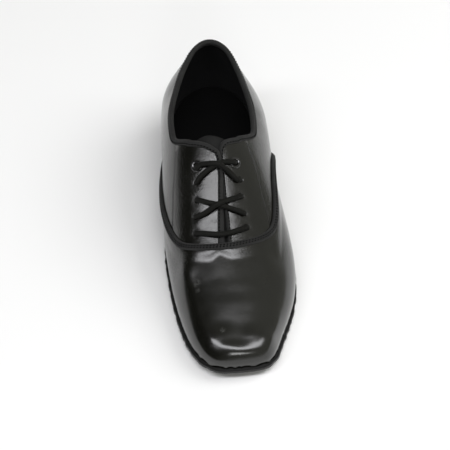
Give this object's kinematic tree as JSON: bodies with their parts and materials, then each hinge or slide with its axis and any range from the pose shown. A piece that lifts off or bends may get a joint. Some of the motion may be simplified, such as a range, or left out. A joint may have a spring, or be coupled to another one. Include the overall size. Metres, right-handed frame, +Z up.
{
  "type": "latin dance shoe",
  "caption": "Black laced oxford dance shoe for the right foot, with square toe, taped vamp edge, thin suede sole and low tapered heel, standing empty",
  "frame": {"origin": "on the floor under the centre of the whole shoe", "axes": "toe towards -Y, heel towards +Y, inner (big toe) side towards +X, up is +Z"},
  "size_m": [0.1026, 0.2852, 0.0908],
  "materials": {
    "upper_leather": "smooth black, semi-gloss, fine grain",
    "tongue_leather": "smooth black, satin",
    "binding_tape": "matte black woven tape",
    "sole_suede": "matte black suede with a raw fibrous edge",
    "insole_lining": "matte black textile",
    "heel_stack": "black covered stack, satin",
    "top_piece": "matte black",
    "lace_cord": "matte black round braid",
    "eyelet_metal": "dark polished metal"
  },
  "bodies": {
    "root": {"outsole": "sole_suede", "heel_block": "heel_stack", "heel_top_piece": "top_piece", "insole": "insole_lining", "upper": "upper_leather", "tongue": "tongue_leather", "collar_binding": "binding_tape", "vamp_binding": "binding_tape", "eyelet_inner": "eyelet_metal", "eyelet_outer": "eyelet_metal", "lace_bar": "lace_cord", "lace_cross_lower": "lace_cord", "lace_cross_upper": "lace_cord"}
  },
  "joints": []
}
